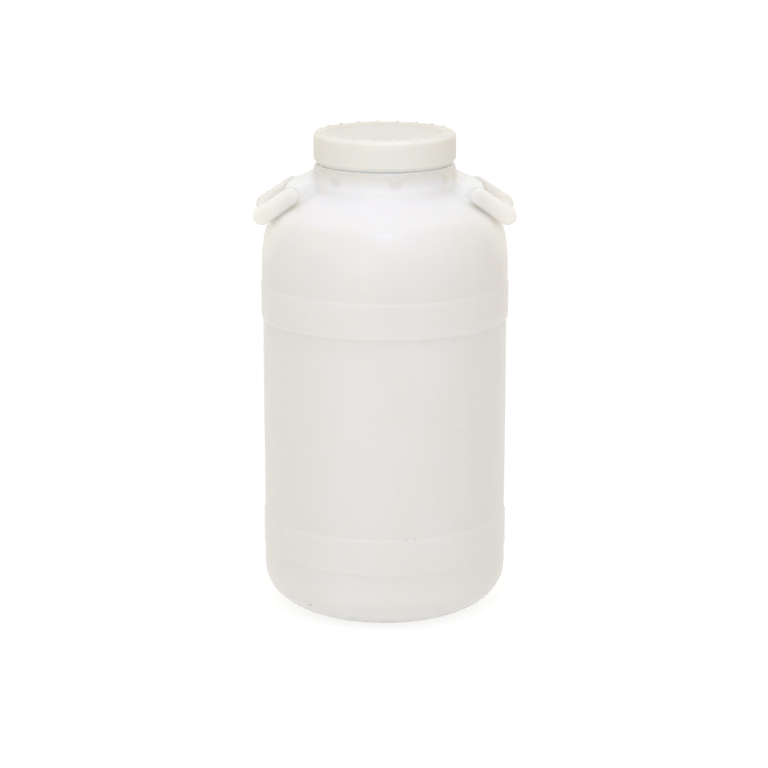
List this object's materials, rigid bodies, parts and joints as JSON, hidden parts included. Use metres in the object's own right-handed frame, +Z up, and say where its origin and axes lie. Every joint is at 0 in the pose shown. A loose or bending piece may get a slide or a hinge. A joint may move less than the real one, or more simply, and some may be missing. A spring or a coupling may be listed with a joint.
{
  "type": "wide-mouth plastic drum",
  "caption": "Tall milky plastic drum with a domed shoulder, two raised hoops, a wide screw cap and a swinging carrying handle on each side.",
  "frame": {"origin": "on the drum's axis, level with the standing ring it rests on", "axes": "+Z up along the drum's axis, X through the two handles, front facing -Y"},
  "size_m": [0.3602, 0.3448, 0.6753],
  "materials": {
    "body_plastic": "milky, softly glossy",
    "cap_plastic": "ivory, satin",
    "handle_plastic": "milky, satin"
  },
  "bodies": {
    "drum": {"drum_body": "body_plastic", "screw_cap": "cap_plastic"},
    "handle_left": {"handle_left": "handle_plastic"},
    "handle_right": {"handle_right": "handle_plastic"}
  },
  "joints": [
    {"name": "handle_left_swing", "type": "hinge", "parent": "drum", "child": "handle_left", "pos_m": [-0.1285, 0, 0.591], "axis": [0, 1, 0], "range_deg": [0, 140]},
    {"name": "handle_right_swing", "type": "hinge", "parent": "drum", "child": "handle_right", "pos_m": [0.1285, 0, 0.591], "axis": [0, -1, 0], "range_deg": [0, 140]}
  ]
}
